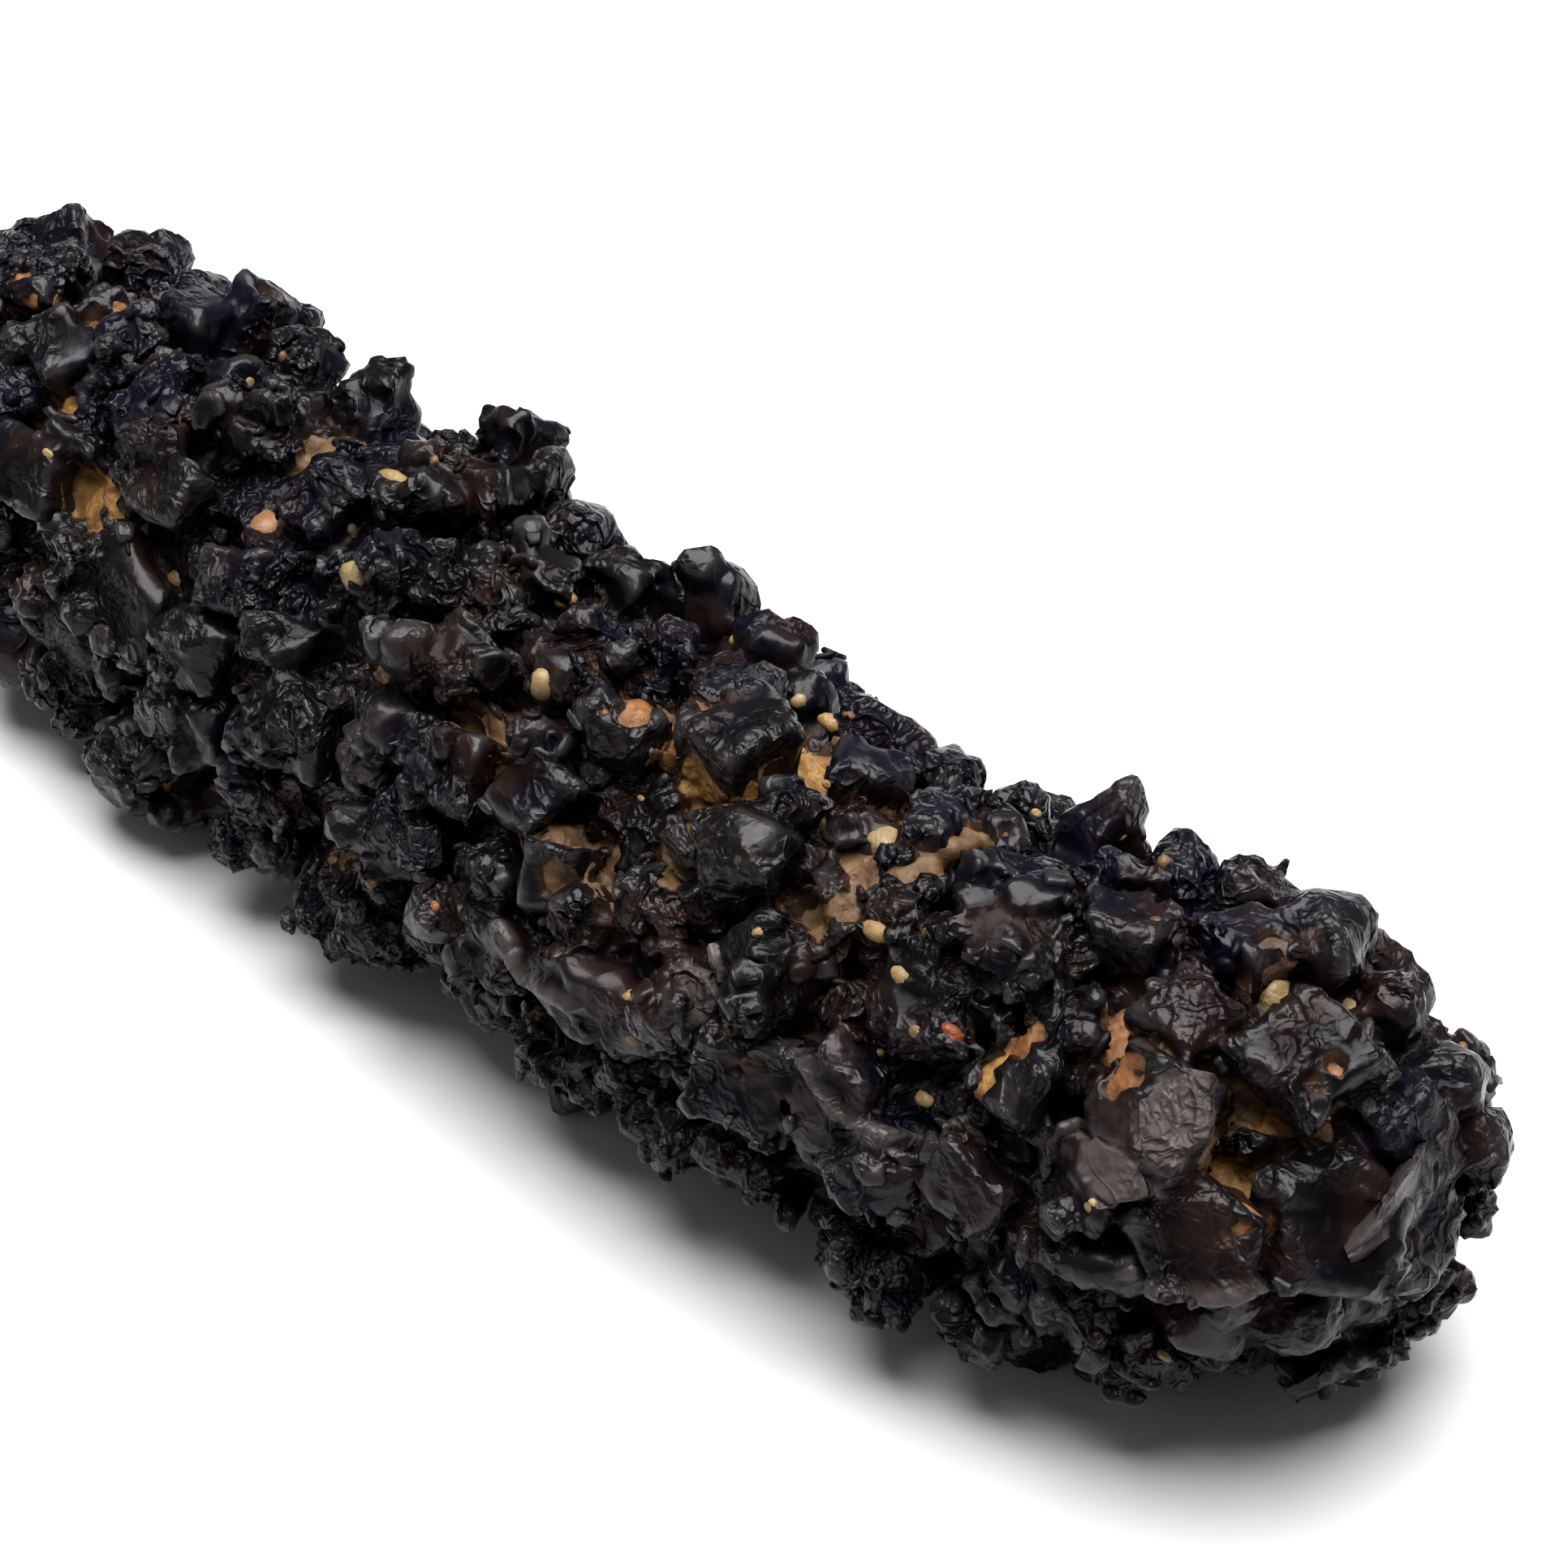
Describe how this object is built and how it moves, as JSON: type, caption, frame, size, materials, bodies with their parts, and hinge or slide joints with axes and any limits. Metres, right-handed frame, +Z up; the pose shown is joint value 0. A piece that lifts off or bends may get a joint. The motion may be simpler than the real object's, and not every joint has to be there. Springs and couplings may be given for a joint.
{
  "type": "prophecy stone",
  "caption": "Finger-shaped natural iron-oxide nodule crusted all over with small dark intergrown crystals, lying on its side.",
  "frame": {"origin": "middle of the box around the stone, on the surface it lies on", "axes": "+Z up, +X along the rod towards its blunt end, +Y away from the face with the sandy hollows"},
  "size_m": [0.0774, 0.0204, 0.0177],
  "materials": {
    "stone": "satin, near-black with a faint bluish or brownish cast, crisp worn edges and pale honey grains in its hollows"
  },
  "bodies": {
    "root": {"stone": "stone"}
  },
  "joints": []
}
